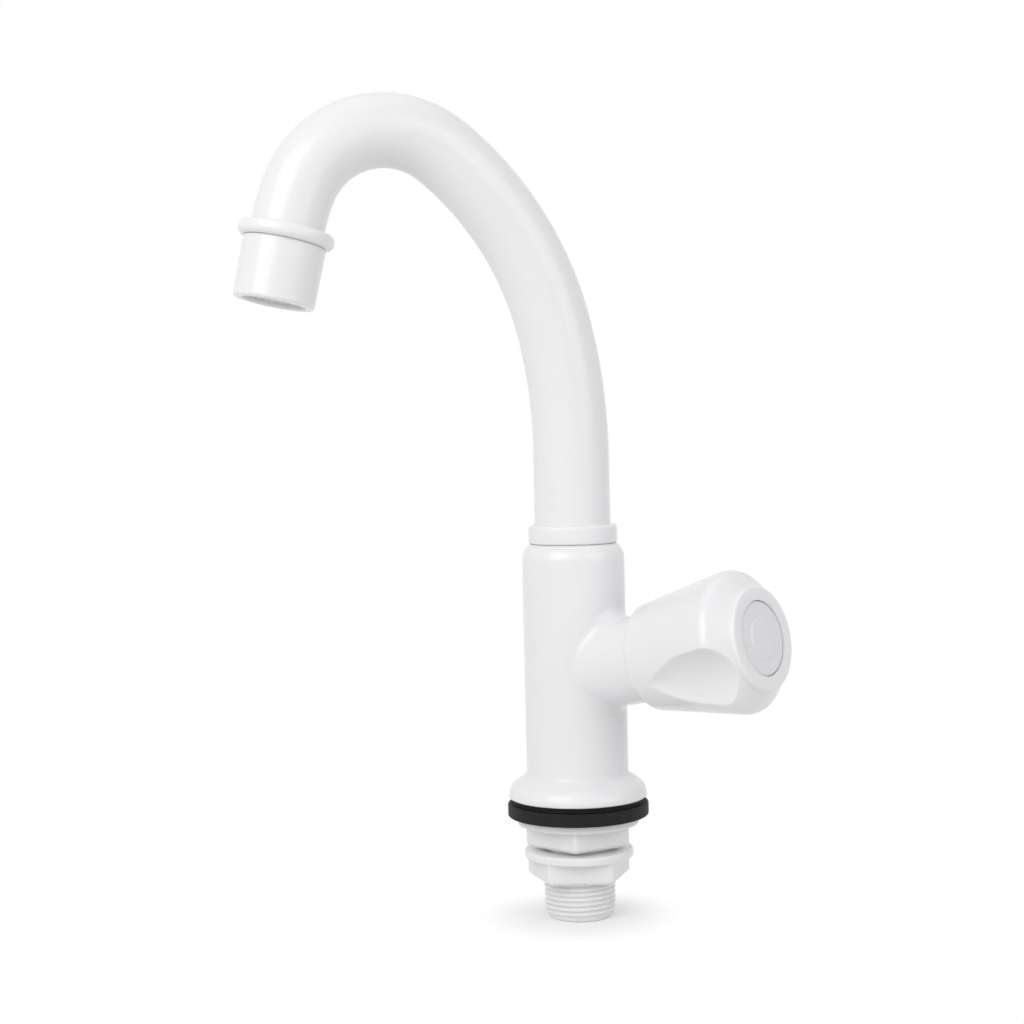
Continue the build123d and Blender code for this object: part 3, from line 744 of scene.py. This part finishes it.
@dataclass
class SwanNeck:
    """The spout: foot spigot, collar, swan-neck tube, bead and outlet end, swept along the neck's path."""

    spigot_bottom: float = 73.8
    spigot_radius: float = 12.95
    spigot_bore: float = 9.6
    collar_base: float = 101.15
    collar_height: float = 6.8
    collar_radius: float = 16.4
    collar_edge: float = 2.3
    foot_length: float = 26.6
    arcs: tuple[tuple[float, float], ...] = ((184.5, 14.6), (115.2, 37.7), (34.8, 105.3), (82.2, 9.8))
    foot_radius: float = 14.07
    outlet_radius: float = 13.0
    wall: float = 3.1
    bead_radius: float = 17.0
    bead_height: float = 5.2
    bead_edge: float = 2.3
    tip_radius: float = 12.1
    tip_length: float = 8.0
    groove_levels: tuple[float, ...] = (93.3, 86.3)
    groove_half: float = 1.2
    groove_root: float = 11.22
    clip_level: float = 78.3
    clip_half: float = 0.85
    clip_play: float = 0.1
    clip_root: float = 11.8
    foot_pieces: int = 13
    fewest_arc_pieces: int = 4
    taper_pieces: int = 11
    spare_path: float = 0.5
    longest_run: float = 1.6
    steps: int = 112

    def path(self) -> tuple[list[Vector], float, float]:
        """The neck's centreline.

        Returns:
            Its points in millimetres, and how far along it the neck starts and ends.
        """
        top = self.collar_base + self.collar_height
        points = [Vector((0, 0, self.spigot_bottom)), Vector((0, 0, top))]
        place, heading = Vector((0, 0, top)), Vector((0, 0, 1))
        for share in range(1, self.foot_pieces + 1):
            points.append(place + heading * (self.foot_length * share / self.foot_pieces))
        place = points[-1].copy()
        for radius, turn in self.arcs:
            side = Vector((-heading.z, 0, heading.x))
            centre = place + side * radius
            pieces = max(self.fewest_arc_pieces, math.ceil(turn))
            spoke = place - centre
            for share in range(1, pieces + 1):
                turning = Matrix.Rotation(math.radians(-turn * share / pieces), 3, "Y")
                points.append(centre + turning @ spoke)
            turning = Matrix.Rotation(math.radians(-turn), 3, "Y")
            place, heading = centre + turning @ spoke, turning @ heading
        points.append(place + heading * (self.bead_height + self.tip_length + self.spare_path))
        lengths = [(after - before).length for before, after in zip(points, points[1:])]
        return points, top - self.spigot_bottom, sum(lengths[:-1])

    def outline(self, start: float, end: float) -> np.ndarray:
        """The spout's section along its path.

        Args:
            start: where the neck starts along the path.
            end: where it ends.

        Returns:
            Points of radius and distance along the path, with the tube's taper.
        """
        collar = self.collar_base - self.spigot_bottom
        corners: list[Corner] = [(self.spigot_bore, 0, 0.2), (self.spigot_radius, 0, 0.5)]
        low = self.clip_level - self.clip_play - self.spigot_bottom
        grooves = [(low, low + 2 * self.clip_half, self.clip_root)]
        for level in sorted(self.groove_levels):
            centre = level - self.spigot_bottom
            grooves.append((centre - self.groove_half, centre + self.groove_half, self.groove_root))
        for low, high, root in grooves:
            corners += [
                (self.spigot_radius, low, 0.1), (root, low, 0.15),
                (root, high, 0.15), (self.spigot_radius, high, 0.1),
            ]
        neck_base = self.tube_radius(start, start, end)
        corners += [
            (self.spigot_radius, collar, 0.15), (self.collar_radius, collar, self.collar_edge / 3),
            (self.collar_radius, start, self.collar_edge), (neck_base, start, 0.6),
        ]
        for share in np.linspace(0, 1, self.taper_pieces + 1)[1:-1]:
            at = start + (end - start) * share
            corners.append((self.tube_radius(at, start, end), at, 0))
        bead_end = end + self.bead_height
        tip, bore = bead_end + self.tip_length, self.outlet_radius - self.wall
        corners += [
            (self.outlet_radius, end, 0.5), (self.bead_radius, end, self.bead_edge),
            (self.bead_radius, bead_end, self.bead_edge), (self.tip_radius, bead_end, 0.2),
            (self.tip_radius, tip, 0.3), (bore, tip, 0.3), (bore, end, 0),
            (neck_base - self.wall, start, 0), (self.spigot_bore, start, 0),
        ]
        return spaced(soften(corners, step=11), self.longest_run)

    def tube_radius(self, at: float, start: float, end: float) -> float:
        """The tube's outside radius.

        Args:
            at: where it is wanted, along the path.
            start: where the neck starts.
            end: where it ends.

        Returns:
            The radius there.
        """
        return self.foot_radius + (self.outlet_radius - self.foot_radius) * (at - start) / (end - start)

    def mesh(self) -> bpy.types.Mesh:
        """Sweeps the section along the path with a geometry tree.

        Returns:
            The spout's mesh.
        """
        points, start, end = self.path()
        outline = self.outline(start, end)
        line = bpy.data.curves.new("neck_path", "CURVE")
        line.dimensions = "3D"
        spline = line.splines.new("POLY")
        spline.points.add(len(points) - 1)
        for point, place in zip(spline.points, points):
            point.co = (*(place * MM), 1)
        path = placed("neck_path", line)
        stations = bpy.data.meshes.new("neck_stations")
        stations.from_pydata([(0, 0, 0)] * len(outline), [], [])
        for name, column in (("tube_radius", 0), ("reach", 1)):
            attribute = stations.attributes.new(name, "FLOAT", "POINT")
            attribute.data.foreach_set("value", (outline[:, column] * MM).astype(np.float32))
        recipe = NodeRecipe("swan_neck_sweep", (
            ("Path", "NodeSocketObject", path),
            ("Stations", "NodeSocketInt", len(outline)),
            ("Steps round", "NodeSocketInt", self.steps),
            ("Finish", "NodeSocketMaterial", WHITE_PLASTIC.material()),
        ))
        web = recipe.web
        count, round_steps = recipe.number("Stations"), recipe.number("Steps round")
        grid = web.add("GeometryNodeMeshGrid", {}, {"Vertices X": count + 1, "Vertices Y": round_steps + 1})
        index = web.value("GeometryNodeInputIndex")
        ring = (index / (round_steps + 1)).floor()
        step = index - ring * (round_steps + 1)
        station = ring % count
        read = {}
        for name in ("tube_radius", "reach"):
            source = web.add("GeometryNodeInputNamedAttribute", {"data_type": "FLOAT"}, {"Name": name})
            read[name] = web.value("GeometryNodeSampleIndex", {"data_type": "FLOAT", "domain": "POINT"}, {
                "Geometry": recipe.start.outputs["Geometry"], "Value": source.outputs[0], "Index": station,
            })
        shape = web.add("GeometryNodeObjectInfo", {}, {"Object": recipe.start.outputs["Path"]})
        sample = web.add("GeometryNodeSampleCurve", {"mode": "LENGTH", "use_all_curves": True}, {
            "Curves": shape.outputs["Geometry"], "Length": read["reach"],
        })
        unit = web.vector("NORMALIZE", web.vector("CROSS_PRODUCT", sample.outputs["Tangent"], (0, 1, 0)))
        angle = step / round_steps * FULL_TURN
        outward = web.vector("SCALE", unit, angle.cosine() * read["tube_radius"])
        sideways = web.vector("SCALE", (0, 1, 0), angle.sine() * read["tube_radius"])
        place = web.vector("ADD", sample.outputs["Position"], web.vector("ADD", outward, sideways))
        moved = web.add("GeometryNodeSetPosition", {}, {"Geometry": grid.outputs[0], "Position": place})
        merged = web.add("GeometryNodeMergeByDistance", {}, {
            "Geometry": moved.outputs[0], "Distance": 10 * WELD_DISTANCE,
        })
        recipe.finish(merged.outputs[0])
        made = recipe.bake(stations, "swan_neck")
        bpy.data.objects.remove(path)
        return made

    def build(self) -> None:
        """Makes the spout and dresses what is inside its foot."""
        piece(self.mesh(), WHITE_PLASTIC, Coupling.SPOUT, "white_plastic", "spout")
        dress(SEAL_RUBBER, "upper_spout_ring", "lower_spout_ring")
        dress(SLIP_PLASTIC, "spout_slip_ring")
        dress(SPRING_STEEL, "spout_clip")


@dataclass
class Nozzle:
    """The cup under the bead, with the aerator in it."""

    bead_height: float = 5.2
    seam: float = 0.08
    length: float = 21.57
    top_radius: float = 14.7
    mouth_radius: float = 14.4
    bore_radius: float = 12.2
    ledge_radius: float = 11.3
    ledge_height: float = 1.6
    bore_edge: float = 0.2
    top_edge: float = 0.35
    rim_round: float = 1.1
    lip_edge: float = 0.55
    ledge_edge: float = 0.15
    steps: int = 160

    def build(self) -> None:
        """Makes the cup and dresses the aerator."""
        top = self.bead_height + self.seam
        end = top + self.length
        seat = end - self.ledge_height
        outline = soften((
            (self.bore_radius, top, self.bore_edge), (self.top_radius, top, self.top_edge),
            (self.mouth_radius, end, self.rim_round), (self.ledge_radius, end, self.lip_edge),
            (self.ledge_radius, seat, self.ledge_edge), (self.bore_radius, seat, 0),
        ))
        cup = turned(OUTLET, outline, "nozzle_cup", self.steps)
        piece(cup, WHITE_PLASTIC, Coupling.SPOUT, "white_plastic", "nozzle")
        dress(AERATOR_PLASTIC, "aerator_grid", "aerator_core")
        dress(SCREEN_STEEL, "upper_screen", "lower_screen")
        dress(SEAL_RUBBER, "aerator_seal")


@dataclass
class Knob:
    """The handle: a hollow cone with two finger scoops, a rim, a bezel and the cap's recess."""

    start: float = 35.95
    end: float = 82.9
    base_radius: float = 19.15
    base_edge: float = 4.2
    rim_radius: float = 25.7
    rim_place: float = 75.0
    rim_round: float = 4.8
    bezel_radius: float = 18.45
    bezel_start: float = 80.9
    bezel_foot: float = 1.2
    bezel_edge: float = 1.5
    turn: float = 26.0
    scoops: int = 2
    scoop_sections: tuple[Triple, ...] = ((45.0, 20.6, 0.8), (59.0, 19.1, 20.5), (85.0, 18.8, 19.5))
    scoop_edge: float = 0.45
    no_scoop: float = 1e3
    cavity_radius: float = 14.75
    cavity_end: float = 66.0
    hub_radius: float = 7.4
    hub_start: float = 52.1
    square: float = 3.25
    square_corner: float = 1.25
    square_end: float = 62.1
    screw_hole: float = 1.75
    pocket_radius: float = 5.5
    pocket_end: float = 64.0
    recess_radius: float = 13.35
    recess_depth: float = 2.6
    recess_corner: float = 0.15
    pocket_edge: float = 0.2
    hole_edge: float = 0.1
    hub_edge: float = 0.3
    hub_foot: float = 0.5
    cavity_corner: float = 0.8
    longest_run: float = 0.5
    steps: int = 384

    def outline(self) -> tuple[np.ndarray, int]:
        """The knob's section.

        Returns:
            Points of radius and place, and how many of them are the outside that the scoops cut.
        """
        outside = soften((
            (self.cavity_radius, self.start, 0), (self.base_radius, self.start, self.base_edge),
            (self.rim_radius, self.rim_place, self.rim_round),
            (self.bezel_radius, self.bezel_start, self.bezel_foot),
            (self.bezel_radius, self.end, self.bezel_edge), (self.recess_radius, self.end, 0),
        ), closed=False, step=6)
        outside = spaced(outside, self.longest_run, closed=False)
        seat = self.end - self.recess_depth
        inside = soften((
            (self.recess_radius, self.end, 0), (self.recess_radius, seat, self.recess_corner),
            (self.pocket_radius, seat, self.pocket_edge),
            (self.pocket_radius, self.pocket_end, self.pocket_edge),
            (self.screw_hole, self.pocket_end, self.hole_edge), (self.screw_hole, self.square_end, 0),
            (self.square, self.square_end, 0), (self.square, self.hub_start, 0),
            (self.hub_radius, self.hub_start, self.hub_edge),
            (self.hub_radius, self.cavity_end, self.hub_foot),
            (self.cavity_radius, self.cavity_end, self.cavity_corner), (self.cavity_radius, self.start, 0),
        ), closed=False)[1:-1]
        return np.concatenate([outside, inside]), len(outside)

    def scoop(self, place: np.ndarray, angle: np.ndarray) -> np.ndarray:
        """Radius of a scoop's surface.

        Args:
            place: places along the knob.
            angle: angles from the scoop's middle, radians.

        Returns:
            The radius there, very large where the scoop doesn't reach.
        """
        levels, floors, radii = (np.array(column) for column in zip(*self.scoop_sections))
        floor = np.interp(place, levels, floors)
        radius = np.interp(place, levels, radii)
        middle = floor + radius
        inside = radius**2 - (middle * np.sin(angle)) ** 2
        reached = (inside > 0) & (np.cos(angle) > 0) & (place > levels[0])
        return np.where(reached, middle * np.cos(angle) - np.sqrt(np.maximum(inside, 0)), self.no_scoop)

    def mesh(self) -> bpy.types.Mesh:
        """Cuts the scoops in the turned shape, with a soft edge.

        Returns:
            The knob's mesh.
        """
        outline, cut = self.outline()
        angles, radius, place = rings(outline, self.steps)
        for index in range(self.scoops):
            away = angles - math.radians(self.turn + index * 360 / self.scoops)
            away = np.abs((away + math.pi) % FULL_TURN - math.pi)
            floor = self.scoop(place[:cut], np.broadcast_to(away, (cut, self.steps)))
            gap = np.maximum(self.scoop_edge - np.abs(radius[:cut] - floor), 0) / self.scoop_edge
            radius[:cut] = np.minimum(radius[:cut], floor) - gap**2 * self.scoop_edge / 4
        squared = np.isclose(outline[:, 0], self.square) & (outline[:, 1] < self.square_end + HAIR)
        around = angles - math.radians(self.turn)
        side = self.square / np.maximum(np.abs(np.cos(around)), np.abs(np.sin(around)))
        radius[squared] = np.minimum(side, self.square * self.square_corner)
        return shell(BRANCH, radius, place, angles, "knob_grip")

    def build(self) -> None:
        """Makes the knob."""
        piece(self.mesh(), WHITE_PLASTIC, Coupling.HANDLE, "white_plastic", "knob")


@dataclass
class KnobCap:
    """The disc in the knob's face, with a rounded edge, a low raised disc and a hollow plug behind."""

    face: float = 82.6
    radius: float = 13.25
    thickness: float = 2.3
    edge: float = 1.3
    raised_radius: float = 6.9
    raised_foot: float = 7.7
    raised_height: float = 0.45
    raised_round: float = 0.6
    plug_radius: float = 5.4
    plug_wall: float = 1.2
    plug_length: float = 5.0
    back_edge: float = 0.2
    tip_edge: float = 0.3
    longest_run: float = 1.5
    steps: int = 144

    def build(self) -> None:
        """Makes the cap."""
        back = self.face - self.thickness
        tip = back - self.plug_length
        bore = self.plug_radius - self.plug_wall
        raised = self.face + self.raised_height
        outline = soften((
            (0, raised, 0), (self.raised_radius, raised, self.raised_round),
            (self.raised_foot, self.face, self.raised_round), (self.radius, self.face, self.edge),
            (self.radius, back, self.back_edge), (self.plug_radius, back, self.back_edge),
            (self.plug_radius, tip, self.tip_edge), (bore, tip, self.back_edge),
            (bore, back, self.back_edge), (0, back, 0),
        ), closed=False)
        outline = spaced(outline, self.longest_run, closed=False)
        cap = turned(BRANCH, outline, "cap_disc", self.steps, closed=False)
        piece(cap, CAP_PLASTIC, Coupling.HANDLE, "cap_plastic", "knob_cap")


@dataclass
class BaseWasher:
    """The black rubber washer between the flange and the deck."""

    bore: float = 13.72
    radius: float = 26.15
    rim_thickness: float = 4.8
    hub_radius: float = 23.4
    thickness: float = 6.8
    edge: float = 0.7
    longest_run: float = 3.0
    steps: int = 192

    def build(self) -> None:
        """Makes the washer."""
        outline = soften((
            (self.bore, 0, 0.3), (self.radius, 0, self.edge), (self.radius, self.rim_thickness, self.edge),
            (self.hub_radius, self.rim_thickness, 0.3), (self.hub_radius, self.thickness, 0.1),
            (self.bore, self.thickness, 0.3),
        ))
        washer = turned(COLUMN, spaced(outline, self.longest_run), "washer_ring", self.steps)
        piece(washer, WASHER_RUBBER, Coupling.TAP, "washer_rubber", "base_washer")


@dataclass
class Backnut:
    """A flanged backnut with a rounded polygon for its grip."""

    name: str
    body: Coupling
    top: float
    height: float
    flange_radius: float
    flange_thickness: float
    turn: float
    sides: int = 5
    corner_radius: float = 20.1
    corner_round: float = 1.3
    chamfer: float = 1.1
    flange_edge: float = 0.7
    flange_lip: float = 4.0
    root_height: float = 0.5
    root_flare: float = 0.4
    bore: float = 13.27
    bore_lip: float = 0.5
    bore_edge: float = 0.25
    chamfer_rings: int = 3
    grip_rings: int = 6
    root_shares: Triple = (0.35, 0.7, 1.0)
    corner_span: float = 5.5
    corner_points: int = 23
    flat_points: int = 18

    def angles(self) -> np.ndarray:
        """Angles of the rings' points, close together at the corners.

        Returns:
            Angles in radians, rising.
        """
        part = 360 / self.sides
        near = np.linspace(-self.corner_span, self.corner_span, self.corner_points)
        far = np.linspace(self.corner_span, part - self.corner_span, self.flat_points)[1:-1]
        one = np.concatenate([near, far])
        return np.radians(np.concatenate([one + self.turn + part * index for index in range(self.sides)]))

    def grip(self, angles: np.ndarray, inset: float) -> np.ndarray:
        """Radius of the rounded polygon.

        Args:
            angles: where it is wanted.
            inset: how far the outline lies inside the full one.

        Returns:
            The radius at each angle.
        """
        half = math.pi / self.sides
        flat = self.corner_radius * math.cos(half) - inset
        rounding = self.corner_round
        middle = (flat - rounding) / math.cos(half)
        away = (angles - math.radians(self.turn) + half) % (2 * half) - half
        straight = flat / np.cos(half - np.abs(away))
        inside = rounding**2 - (middle * np.sin(away)) ** 2
        round_corner = middle * np.cos(away) + np.sqrt(np.maximum(inside, 0))
        edge = middle * math.sin(half)
        off_side = np.abs(np.sin(half - np.abs(away))) * straight
        return np.where(off_side > edge, round_corner, straight)

    def mesh(self) -> bpy.types.Mesh:
        """Stacks the nut's rings.

        Returns:
            The nut's mesh.
        """
        angles = self.angles()
        bottom = self.top - self.height
        under = self.top - self.flange_thickness
        flat = np.ones_like(angles)
        rows = [(flat * radius, bottom) for radius in (self.bore, self.bore + self.bore_lip)]
        for share in np.linspace(0, 1, self.chamfer_rings):
            rows.append((self.grip(angles, self.chamfer * (1 - share)), bottom + self.chamfer * share))
        grip_bottom, grip_top = bottom + self.chamfer, under - self.root_height
        for share in np.linspace(0, 1, self.grip_rings)[1:]:
            rows.append((self.grip(angles, 0), grip_bottom + (grip_top - grip_bottom) * share))
        for share in self.root_shares:
            bend = share * math.pi / 2
            flare = self.root_flare * (1 - math.cos(bend))
            rows.append((self.grip(angles, -flare), grip_top + self.root_height * math.sin(bend)))
        rim = soften((
            (self.flange_radius - self.flange_lip, under, 0), (self.flange_radius, under, self.flange_edge),
            (self.flange_radius, self.top, self.flange_edge), (self.bore, self.top, self.bore_edge),
            (self.bore, bottom, 0),
        ), closed=False)
        for radius, level in rim[1:-1]:
            covered = level > under + self.flange_edge
            rows.append((flat * radius if covered else np.maximum(flat * radius, rows[-1][0]), level))
        radius = np.array([row for row, _ in rows])
        place = np.array([flat * level for _, level in rows])
        return shell(COLUMN, radius, place, angles, self.name + "_ring")

    def build(self) -> None:
        """Makes the nut."""
        piece(self.mesh(), NUT_PLASTIC, self.body, "nut_plastic", self.name)


class KeptPieces:
    """The body and what its branch holds, which stay as the CAD made them."""

    def build(self) -> None:
        """Dresses them."""
        dress(WHITE_PLASTIC, "body")
        dress(SLIP_PLASTIC, "headwork_bush", "spindle", "spindle_slip_ring", "plunger")
        dress(SEAL_RUBBER, "headwork_seal", "spindle_rings", "valve_washer")
        dress(SPRING_STEEL, "spindle_clip", "knob_screw")
        dress(SCREW_BRASS, "washer_screw")


@dataclass
class Lamp:
    """A soft rectangular lamp aimed at the tap."""

    name: str
    place: Triple
    width: float
    height: float
    power: float
    colour: Colour
    aim: Triple = (-0.03, 0.0, 0.12)

    def build(self) -> None:
        """Makes the lamp."""
        data = bpy.data.lights.new(self.name, "AREA")
        data.shape = "RECTANGLE"
        data.size, data.size_y = self.width, self.height
        data.energy = self.power
        data.color = self.colour
        lamp = placed(self.name, data)
        lamp.location = self.place
        lamp.rotation_euler = (Vector(self.aim) - Vector(self.place)).to_track_quat("-Z", "Y").to_euler()


@dataclass
class Studio:
    """Camera, lamps, pale floor and white surroundings.

    Near the tap the camera sees the floor's paper, with the shadow on it, and farther out plain white. Rays
    that light the tap meet paper of the shade floor_bounce everywhere.
    """

    focal_pixels: float = 1950.0
    picture: float = 1024.0
    sensor: float = 36.0
    camera_place: Triple = (-267.2, -669.0, 146.3)
    level_right: Triple = (0.93969, -0.34202, 0.0)
    dip: float = 2.65
    roll: float = 1.26
    floor_level: float = -38.0
    floor_half: float = 8.0
    floor_colour: float = 0.92
    floor_grain: float = 0.015
    floor_bounce: float = 0.80
    shadow_share: float = 0.9
    shadow_full: float = 0.031
    shadow_end: float = 0.056
    surroundings: float = 0.53
    surroundings_colour: Colour = (0.985, 0.985, 1.0)
    lamps: Sequence[Lamp] = (
        Lamp("key", (-1.15, -0.75, 0.90), 1.2, 1.2, 11.8, (1.0, 0.99, 0.985)),
        Lamp("front", (0.78, -1.20, 0.65), 1.0, 1.0, 4.1, (1.0, 0.995, 0.99)),
        Lamp("top", (0.15, 0.25, 1.40), 0.9, 0.9, 0.8, (0.97, 0.98, 1.0)),
    )

    def camera(self) -> None:
        """Puts the camera where the photograph was taken from."""
        data = bpy.data.cameras.new("camera")
        data.sensor_width = self.sensor
        data.sensor_fit = "HORIZONTAL"
        data.lens = self.focal_pixels / self.picture * self.sensor
        data.clip_start, data.clip_end = 0.01, 50
        dip, roll = math.radians(self.dip), math.radians(self.roll)
        right, level = Vector(self.level_right), math.cos(dip)
        forward = Vector((-self.level_right[1] * level, self.level_right[0] * level, -math.sin(dip)))
        upward = right.cross(forward)
        x_axis = math.cos(roll) * right - math.sin(roll) * upward
        y_axis = math.sin(roll) * right + math.cos(roll) * upward
        turn = Matrix((x_axis, y_axis, -forward)).transposed().to_4x4()
        camera = placed("camera", data)
        camera.matrix_world = Matrix.Translation(Vector(self.camera_place) * MM) @ turn
        bpy.context.scene.camera = camera

    def seen(self, web: Web) -> Value:
        """Whether a ray is the camera's, or came through gloss or glass.

        Args:
            web: the tree to build in.

        Returns:
            1 for those rays, 0 for the rest.
        """
        path = web.add("ShaderNodeLightPath")
        camera_ray = Value(web, path.outputs["Is Camera Ray"])
        glossy = Value(web, path.outputs["Is Glossy Ray"])
        clear = Value(web, path.outputs["Is Transmission Ray"])
        return camera_ray.most(glossy).most(clear)

    def floor(self) -> None:
        """Makes the floor, white to the camera but for the tap's shadow."""
        material = bpy.data.materials.new("floor_paper")
        material.use_nodes = True
        web = Web(material.node_tree)
        place = web.add("ShaderNodeTexCoord").outputs["Object"]
        grain = web.value("ShaderNodeTexNoise", {}, {"Vector": place, "Scale": 60.0, "Detail": 3.0})
        low, high = (self.floor_colour * (1 + side * self.floor_grain) for side in (-1, 1))
        tone = web.blend(grain, (low, low, low), (high, high, high))
        seen = self.seen(web)
        toned = web.blend(seen, (self.floor_bounce, self.floor_bounce, self.floor_bounce), tone)
        paper = web.add("ShaderNodeBsdfDiffuse", {}, {"Color": toned})
        white = web.add("ShaderNodeEmission", {}, {"Strength": 1.0})
        distance = web.value("ShaderNodeVectorMath", {"operation": "LENGTH"}, {0: place}, "Value")
        fade = web.value("ShaderNodeMapRange", {"interpolation_type": "SMOOTHSTEP"}, {
            "Value": distance, "From Min": self.shadow_full, "From Max": self.shadow_end,
            "To Min": self.shadow_share, "To Max": 0.0,
        })
        mixed = web.add("ShaderNodeMixShader", {}, {
            0: seen * (1 - fade), 1: paper.outputs[0], 2: white.outputs[0],
        })
        web.add("ShaderNodeOutputMaterial", {}, {"Surface": mixed.outputs[0]})
        mesh = bpy.data.meshes.new("floor")
        half, level = self.floor_half, self.floor_level * MM
        corners = [(-half, -half, level), (half, -half, level), (half, half, level), (-half, half, level)]
        mesh.from_pydata(corners, [], [(0, 1, 2, 3)])
        mesh.materials.append(material)
        floor = placed("floor", mesh)

    def world(self) -> None:
        """Makes the surroundings: an even studio, white to the camera."""
        world = bpy.data.worlds.new("studio")
        world.use_nodes = True
        web = Web(world.node_tree)
        even = web.add("ShaderNodeBackground", {}, {
            "Color": (*self.surroundings_colour, 1), "Strength": self.surroundings,
        })
        white = web.add("ShaderNodeBackground", {}, {"Color": (1, 1, 1, 1), "Strength": 1.0})
        mixed = web.add("ShaderNodeMixShader", {}, {
            0: self.seen(web), 1: even.outputs[0], 2: white.outputs[0],
        })
        web.add("ShaderNodeOutputWorld", {}, {"Surface": mixed.outputs[0]})
        bpy.context.scene.world = world

    def build(self) -> None:
        """Makes the whole studio."""
        self.camera()
        self.floor()
        self.world()
        for lamp in self.lamps:
            lamp.build()
        bpy.context.scene.view_settings.view_transform = "Standard"
        log.info("studio: camera, floor, surroundings and %d lamps", len(self.lamps))


def main() -> None:
    """Builds the tap and its studio in order."""
    logging.basicConfig(level=logging.INFO, format="%(message)s")
    clamp_nut = Backnut(
        "clamp_nut", Coupling.CLAMP, top=-0.05, height=10.95,
        flange_radius=22.5, flange_thickness=3.2, turn=28.0,
    )
    lock_nut = Backnut(
        "lock_nut", Coupling.LOCK, top=-12.5, height=10.9,
        flange_radius=20.1, flange_thickness=3.1, turn=-2.0,
    )
    Studio().build()
    for part in (KeptPieces(), BaseWasher(), clamp_nut, lock_nut, SwanNeck(), Nozzle(), Knob(), KnobCap()):
        part.build()


if __name__ == "__main__":
    main()
